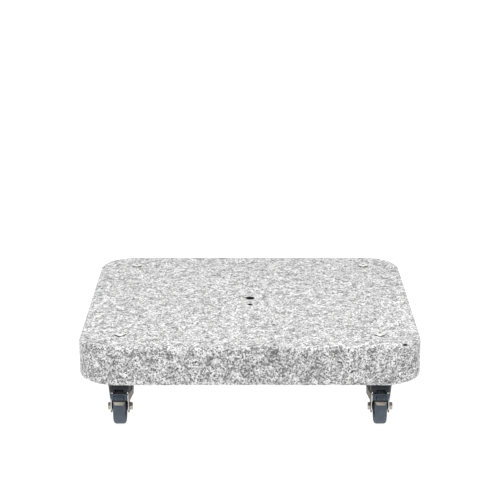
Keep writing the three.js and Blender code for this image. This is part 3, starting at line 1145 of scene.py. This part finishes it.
def build_fork():
    knee_front = leg_edge(CROWN_FRONT, CROWN_SKIRT, 1, KNEE_Z)
    knee_back = leg_edge(-CROWN_R, CROWN_SKIRT, -1, KNEE_Z)
    outer = hull("fork", shoulders(0.0, 4.5))
    legs = hull(
        "legs",
        [
            p
            for x in (-LEG_OUT, LEG_OUT)
            for p in [(x, -knee_front, KNEE_Z), (x, -knee_back, KNEE_Z)]
            + [(x, -d, z) for d, z in sweep(LEG_END, 0, 360, 48)]
        ],
    )
    channel = LEG_OUT - FORK_T
    opening = hull(
        "open",
        back_edge(-FORK_T, BACK_Z + 1)
        + back_edge(-FORK_T, BACK_Z - 20)
        + [
            (x, -knee_back, z)
            for x in (-channel, channel)
            for z in (BACK_Z + 1, BACK_Z - 20)
        ],
    )
    mesh = plus(outer, legs)
    mesh = minus(
        mesh,
        hull("inner", shoulders(-FORK_T, 2.0)),
        opening,
        block(-channel, channel, -80, 60, -90, CROWN_TOP - FORK_T),
        upright(9.6, -20, 0),
        rod(5.4, -40, 40, TRAIL, AXLE_Z),
        rod(PIN_R + 0.3, -40, 40, PIN_D, PIN_Z),
    )
    return tidy(bevelled(mesh, 0.45, 2, 38.0), 34.0)


def build_cover():
    def shape(inset, bottom, name, round_top=True):
        pts = []
        rows = [
            (18.0, 50.0, 10.0, -3.0),
            (19.4, 52.4, 10.8, -5.2),
            (20.4, 56.2, 10.8, -13.0),
            (20.8, 58.0, 10.0, bottom),
        ]
        for half, front, corner, z in rows:
            rings = [(0.0, z - inset if z != bottom else z)]
            if z == -3.0 and round_top:
                rings = [
                    (
                        1.4 * (1 - math.sin(math.radians(a))),
                        z - inset - 1.4 * (1 - math.cos(math.radians(a))),
                    )
                    for a in (0, 30, 60, 90)
                ]
            for inner, low in rings:
                r = max(corner - inset - inner, 0.5)
                for s in (-1, 1):
                    pts.append((s * (half - inset - inner), 8, low))
                    for i in range(13):
                        a = math.radians(90 * i / 12)
                        pts.append(
                            (
                                s * (half - corner + r * math.sin(a)),
                                -(front - corner + r * math.cos(a)),
                                low,
                            )
                        )
        return hull(name, pts)

    mesh = minus(
        shape(0.0, -23.5, "brake_cover"),
        shape(2.2, -29.5, "hollow"),
        hull("clear", shoulders(0.5, 4.5)),
        upright(23.2, -40, 4, 96),
        block(-9.6, 9.6, -70, -45, -30, -17),
    )
    return tidy(bevelled(mesh, 0.5, 2, 38.0), 34.0)


def hexed(apothem, j, n, turn=0.0):
    t = math.degrees(2 * math.pi * j / n) + turn
    return apothem / math.cos(math.radians(((t + 30.0) % 60.0) - 30.0))


def build_fixing_bolt():
    """A low domed head with a flange and hexagon socket, on a plain shank with a threaded end."""
    n, t = 72, 85.0
    circle_rings = [
        (0.01, -28.0),
        (4.4, -28.0),
        (5.6, -27.1),
        (5.9, -26.6),
    ]
    z = -26.4
    while z < -1.2:
        circle_rings += [(5.35, z), (5.95, z + 0.65), (5.95, z + 0.85), (5.35, z + 1.5)]
        z += 1.75
    circle_rings += [(6.0, z + 0.4), (6.0, t - 0.6), (6.3, t)]
    flange = arc_round(
        [
            (6.3, t),
            (11.8, t),
            (11.8, t + 2.4),
            (10.5, t + 3.4),
            (8.3, t + 4.3),
            (6.0, t + 4.7),
            (4.1, t + 4.7),
        ],
        [0, 0.25, 0.45, 1.4, 1.6, 1.2, 0.0],
        4,
        closed=False,
    )[1:]
    circle_rings += flange
    rings = [
        [
            (
                r * math.cos(2 * math.pi * j / n),
                r * math.sin(2 * math.pi * j / n),
                h,
            )
            for j in range(n)
        ]
        for r, h in circle_rings
    ]
    for apothem, h in ((3.5, t + 4.5), (3.2, t + 4.1), (3.2, t + 1.3), (2.9, t + 1.0)):
        rings.append(
            [
                (
                    hexed(apothem, j, n) * math.cos(2 * math.pi * j / n),
                    hexed(apothem, j, n) * math.sin(2 * math.pi * j / n),
                    h,
                )
                for j in range(n)
            ]
        )
    rings.append(
        [
            (
                0.01 * math.cos(2 * math.pi * j / n),
                0.01 * math.sin(2 * math.pi * j / n),
                t + 0.5,
            )
            for j in range(n)
        ]
    )
    return tidy(make_mesh("fixing_bolt", *loft(rings)), 28.0)


def build_swivel_head():
    profile = arc_round(
        [
            (6.5, 0),
            (6.5, -14),
            (14.5, -14),
            (14.5, -11.5),
            (9, -11.5),
            (9, -2.5),
            (20, -2.5),
            (20, -6),
            (22, -6),
            (22, 0),
        ],
        [0.3, 0.3, 0.8, 0.6, 1.0, 1.2, 0.8, 0.5, 0.6, 2.2],
        4,
    )
    return tidy(make_mesh("swivel_head", *turned(profile, 96)), 30.0)


def hex_nut(name, flats, z0, z1, bore, collar=None, n=96, thread=None):
    """A nut about Z from z0 up to z1, with chamfered corners; collar is (radius, height) above z1."""
    half = flats / 2
    rim = half / math.cos(math.radians(30))

    def ring(z, cut):
        return [
            (
                min(hexed(half, j, n, 0.0), cut) * math.cos(2 * math.pi * j / n),
                min(hexed(half, j, n, 0.0), cut) * math.sin(2 * math.pi * j / n),
                z,
            )
            for j in range(n)
        ]

    def round_ring(r, z):
        return [
            (
                r * math.cos(2 * math.pi * j / n),
                r * math.sin(2 * math.pi * j / n),
                z,
            )
            for j in range(n)
        ]

    rise = (rim - half) * 0.58
    rings = [
        round_ring(bore + 0.5, z0),
        round_ring(half - 0.25, z0),
        ring(z0 + rise * 0.35, half + (rim - half) * 0.45),
        ring(z0 + rise, rim + 0.01),
        ring(z1 - rise, rim + 0.01),
        ring(z1 - rise * 0.35, half + (rim - half) * 0.45),
        round_ring(half - 0.25, z1),
    ]
    if collar:
        r, h = collar
        rings += [
            round_ring(r + 0.3, z1),
            round_ring(r, z1 + 0.3),
            round_ring(r, z1 + h - 0.7),
            round_ring(r - 0.2, z1 + h - 0.2),
            round_ring(r - 0.7, z1 + h),
            round_ring(bore + 0.35, z1 + h),
            round_ring(bore, z1 + h - 0.4),
        ]
    else:
        rings += [round_ring(bore + 0.5, z1), round_ring(bore, z1 - 0.5)]
    rings += [round_ring(bore, z0 + 0.5)]
    return tidy(make_mesh(name, *loft(rings, closed=True)), 24.0)


def build_ball_ring():
    """Sixteen balls in a thin cage."""
    bm = bmesh.new()
    for i in range(16):
        a = 2 * math.pi * i / 16
        bmesh.ops.create_uvsphere(
            bm,
            u_segments=16,
            v_segments=10,
            radius=2.4 * MM,
            matrix=Matrix.Translation(
                (14.5 * MM * math.cos(a), 14.5 * MM * math.sin(a), -5.5 * MM)
            ),
        )
    cage = bpy.data.meshes.new("cage")
    bm.to_mesh(cage)
    bm.free()
    ring = tidy(
        make_mesh(
            "ball_ring",
            *turned(
                arc_round(
                    [(12.2, -5.0), (16.8, -5.0), (16.8, -6.0), (12.2, -6.0)], 0.25, 2
                ),
                96,
            ),
        )
    )
    return tidy(plus(ring, cage), 40.0)


def sideways(mesh, x0):
    """Turns a piece made about Z so that its +Z is +X, at the axle."""
    mesh.transform(
        Matrix.Translation((x0 * MM, -TRAIL * MM, AXLE_Z * MM))
        @ Matrix.Rotation(math.radians(90), 4, "Y")
    )
    return mesh


def build_axle_bolt():
    n = 96
    half = 7.98
    rim = half / math.cos(math.radians(30))

    def ring(z, cut=None, r=None):
        return [
            (
                (r if r is not None else min(hexed(half, j, n), cut))
                * math.cos(2 * math.pi * j / n),
                (r if r is not None else min(hexed(half, j, n), cut))
                * math.sin(2 * math.pi * j / n),
                z,
            )
            for j in range(n)
        ]

    x0 = -(LEG_OUT + 0.1)
    head = x0 - 5.9
    rings = [
        ring(head + 0.6, r=0.01),
        ring(head + 0.6, r=4.2),
        ring(head + 0.25, r=4.8),
        ring(head, r=5.3),
        ring(head, r=7.6),
        ring(head + 0.3, cut=half + (rim - half) * 0.45),
        ring(head + 0.9, cut=rim + 0.01),
        ring(x0 - 0.4, cut=rim + 0.01),
        ring(x0 - 0.4, r=7.6),
        ring(x0, r=7.5),
        ring(x0, r=5.3),
        ring(x0 + 0.4, r=5.0),
        ring(LEG_OUT - 2.0, r=5.0),
    ]
    x = LEG_OUT - 1.6
    while x < LEG_OUT + 5.9:
        rings += [ring(x, r=4.4), ring(x + 0.5, r=4.98), ring(x + 0.7, r=4.98), ring(x + 1.2, r=4.4)]
        x += 1.45
    end = LEG_OUT + 7.4
    rings += [ring(end - 0.4, r=4.4), ring(end, r=3.9), ring(end, r=0.01)]
    mesh = tidy(make_mesh("axle_bolt", *loft(rings)), 24.0)
    mesh.transform(Matrix.Rotation(math.radians(-19.3), 4, "Z"))
    return sideways(mesh, 0.0)


def build_axle_nut():
    mesh = hex_nut("axle_nut", 15.96, 0.0, 6.9, 5.2)
    mesh.transform(Matrix.Rotation(math.radians(-19.3), 4, "Z"))
    return sideways(mesh, LEG_OUT + 0.1)


def build_fixing_nut():
    mesh = hex_nut("fixing_nut", 19.0, 0.0, 9.2, 6.25, collar=(8.3, 2.2))
    mesh.transform(
        Matrix.Translation((0, 0, -14.3 * MM)) @ Matrix.Rotation(math.pi, 4, "X")
    )
    return mesh


def build_axle_sleeve():
    x = LEG_OUT - FORK_T - 0.3
    profile = arc_round([(5.4, -x), (7.0, -x), (7.0, x), (5.4, x)], 0.3, 2)
    return sideways(tidy(make_mesh("axle_sleeve", *turned(profile, 48)), 30.0), 0.0)


def build_wheel_core():
    """The moulded wheel body: hub, dished web with eight ribs a side, and rim."""
    profile = arc_round(
        [
            (7.4, -15.5),
            (9.9, -15.5),
            (10.6, -8.0),
            (11.6, -3.2),
            (24.4, -2.4),
            (25.2, -11.6),
            (28.5, -11.6),
            (28.5, 11.6),
            (25.2, 11.6),
            (24.4, 2.4),
            (11.6, 3.2),
            (10.6, 8.0),
            (9.9, 15.5),
            (7.4, 15.5),
        ],
        [0.5, 0.8, 3, 2.0, 2.0, 0.6, 0.3, 0.3, 0.6, 2.0, 2.0, 3, 0.8, 0.5],
        4,
    )
    mesh = tidy(make_mesh("wheel_core", *turned(profile, 96)), 34.0)
    ribs = []
    for i in range(8):
        a = 2 * math.pi * i / 8 + 0.2
        rib = block(9.6, 25.9, -0.9, 0.9, -8.4, 8.4)
        rib.transform(Matrix.Rotation(a, 4, "Z"))
        ribs.append(rib)
    # ribs: one straight block each, standing out on both sides of the web
    mesh = plus(mesh, *ribs)
    mesh = bevelled(mesh, 0.35, 2, 40.0)
    return sideways(tidy(mesh, 34.0), 0.0)


def build_wheel_tread():
    h = TREAD_W / 2
    profile = arc_round(
        [
            (28.7, 11.4),
            (29.6, h - 0.6),
            (31.6, h),
            (33.4, h),
            (33.9, h - 0.45),
            (34.6, h - 0.45),
            (36.7, h - 2.2),
            (37.5, h - 5.6),
            (37.5, 0.45),
            (37.34, 0.0),
        ],
        [0.2, 0.8, 0.7, 0.25, 0.25, 0.8, 2.6, 4.0, 0.3, 0.3],
        4,
        closed=False,
    )
    profile = profile + [(r, -x) for r, x in reversed(profile[:-1])]
    mesh = tidy(make_mesh("wheel_tread", *turned(profile, 144)), 30.0)
    return sideways(mesh, 0.0)


def build_brake_pedal():
    """The foot pedal: a neck under the hood, and a step with side lips and a ribbed centre pad."""
    neck = slab_of(
        [
            (PIN_D - 1, PIN_Z + 3.6),
            (PIN_D + 6, PIN_Z + 3.0),
            (40, -18.6),
            (52, -22.3),
            (57, -24.8),
            (61.4, -25),
            (63, -36),
        ]
        + sweep(39.8, 37, 97, 24)
        + [(PIN_D - 1, PIN_Z - 3.6)],
        -8.6,
        8.6,
    )
    face = arc_round(
        [
            (59.4, -25.3),
            (61.6, -24.9),
            (63.4, -27),
            (67.3, -35.6),
            (66.8, -37.1),
            (65.6, -37.5),
            (65.4, -41.0),
            (64.4, -41.3),
            (60.5, -36),
            (58.2, -29.5),
        ],
        [0.8, 0.8, 1.5, 0.9, 0.6, 0.2, 0.3, 0.2, 2, 2],
        3,
    )
    step = slab_of(face, -19.5, 19.5)
    cutters = []
    for s in (-1, 1):
        pts = [(19.7, -24), (13.4, -43), (30, -43), (30, -24)]
        rings = [[(s * x, y, z) for x, z in pts] for y in (-50, -80)]
        cutters.append(tidy(make_mesh("taper", *loft(rings))))
    def lean(z):
        """How far out the step's face is at a height."""
        return 63.4 + (-27.0 - z) * 4.3 / 9.6

    # the face is sunk around a centre pad, between two side lips
    for s in (-1, 1):
        well = [(8.9, -28.4), (11.4, -28.4), (10.8, -36.6), (8.9, -36.6)]
        rings = [
            [(s * x, -(lean(z) - 2.0), z) for x, z in well],
            [(s * x, -(lean(z) + 4.0), z) for x, z in well],
        ]
        cutters.append(tidy(make_mesh("well", *loft(rings))))
    band = [(62.2, -26.9), (lean(-29.4) - 1.7, -29.4), (72.0, -29.4), (72.0, -26.9)]
    cutters.append(slab_of(band, -8.9, 8.9))
    # two grooves across the pad
    for z in (-31.6, -34.4):
        d = lean(z)
        cutters.append(block(-6.6, 6.6, -(d + 3), -(d - 1.1), z - 0.55, z + 0.55))
    mesh = plus(neck, step, rod(4.2, -8.6, 8.6, PIN_D, PIN_Z))
    mesh = minus(mesh, *cutters, rod(PIN_R + 0.3, -30, 30, PIN_D, PIN_Z))
    return tidy(bevelled(mesh, 0.4, 2, 40.0), 34.0)


def build_brake_plate():
    """The bright steel shoe: a strip bent round the tyre, narrowing to its pressing end."""
    strip = slab_of(
        sweep(38.2, 21.0, 80, 30) + sweep(39.6, 80, 21.0, 30), -14.6, 14.6
    )
    cutters = []
    for s in (-1, 1):
        pts = [(14.7, -38), (7.4, -50), (20, -50), (20, -38)]
        rings = [[(s * x, y, z) for x, z in pts] for y in (-40, -80)]
        cutters.append(tidy(make_mesh("taper", *loft(rings))))
    mesh = minus(strip, *cutters)
    return tidy(bevelled(mesh, 0.3, 2, 40.0), 34.0)


def build_pedal_pin():
    """A plain pin with rounded ends, the same at both."""
    profile = [
        (0.01, -22.4),
        (1.6, -22.3),
        (2.3, -21.9),
        (2.5, -21.3),
        (2.5, 21.3),
        (2.3, 21.9),
        (1.6, 22.3),
        (0.01, 22.4),
    ]
    mesh = tidy(make_mesh("pedal_pin", *turned(profile, 48, closed=False)), 40.0)
    mesh.transform(
        Matrix.Translation((0, -PIN_D * MM, PIN_Z * MM))
        @ Matrix.Rotation(math.radians(90), 4, "Y")
    )
    return mesh


SHAPES = [
    ("fixing_bolt", build_fixing_bolt, "stainless", "stainless", "stone"),
    ("swivel_head", build_swivel_head, "zinc_across", "zinc", "stone"),
    ("fixing_nut", build_fixing_nut, "zinc_across", "zinc", "stone"),
    ("ball_ring", build_ball_ring, "zinc_across", "zinc", "swivel"),
    ("fork", build_fork, "zinc", "zinc", "swivel"),
    ("brake_cover", build_cover, "cover_plastic", "cover_plastic", "swivel"),
    ("axle_bolt", build_axle_bolt, "zinc_across", "zinc", "swivel"),
    ("axle_nut", build_axle_nut, "zinc_across", "zinc", "swivel"),
    ("axle_sleeve", build_axle_sleeve, "zinc_across", "zinc", "swivel"),
    ("pedal_pin", build_pedal_pin, "zinc_across", "zinc", "swivel"),
    ("wheel_core", build_wheel_core, "core_plastic", "core_plastic", "wheel"),
    ("wheel_tread", build_wheel_tread, "tread_rubber", "tread_rubber", "wheel"),
    ("brake_pedal", build_brake_pedal, "pedal_plastic", "pedal_plastic", "pedal"),
    ("brake_plate", build_brake_plate, "brake_steel", "brake_steel", "pedal"),
]

meshes = {}
for name, build, look, slot, rides in SHAPES:
    mesh = build()
    mesh.materials.clear()
    mesh.materials.append(MAT[look])
    if name == "brake_pedal":
        # the lever behind the step gets a darker, greyer copy of the pedal plastic as painted shade under the hood;
        # the lip that carries the shoe gets a near-black one as the painted shadow under the step
        mesh.materials.append(MAT["lever_plastic"])
        mesh.materials.append(MAT["shoe_seat"])
        for p in mesh.polygons:
            d, z = -p.center.y / MM, p.center.z / MM
            if d < 59.3:
                p.material_index = 1
            elif z < -37.4 and d > 60:
                p.material_index = 2
    meshes[name] = mesh

for where, x, y, turn in (
    ("front_left", -PITCH, -PITCH, 0.0),
    ("front_right", PITCH, -PITCH, 0.0),
    ("rear_left", -PITCH, PITCH, math.pi),
    ("rear_right", PITCH, PITCH, math.pi),
):
    at = Matrix.Translation((x * MM, y * MM, BASE * MM)) @ Matrix.Rotation(turn, 4, "Z")
    for name, build, look, slot, rides in SHAPES:
        node = f"{name}_{where}"
        piece = bpy.data.objects.new(node + "_look", meshes[name])
        scene.collection.objects.link(piece)
        piece.matrix_world = at
        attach(piece, "stone" if rides == "stone" else f"{rides}_{where}")
        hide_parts(node)

# ---------------------------------------------------------------- the floor
floor_mesh = make_mesh(
    "floor", [(-9000, -9000, 0), (9000, -9000, 0), (9000, 9000, 0), (-9000, 9000, 0)], [(0, 1, 2, 3)]
)
floor = bpy.data.objects.new("floor", floor_mesh)
scene.collection.objects.link(floor)
k = Nodes("floor")
k.shader.inputs["Emission Color"].default_value = (1, 1, 1, 1)
k.shader.inputs["Emission Strength"].default_value = 0.93
floor_mesh.materials.append(k.done((0.30, 0.30, 0.30), 0.9, None, Specular_IOR_Level=0.0))
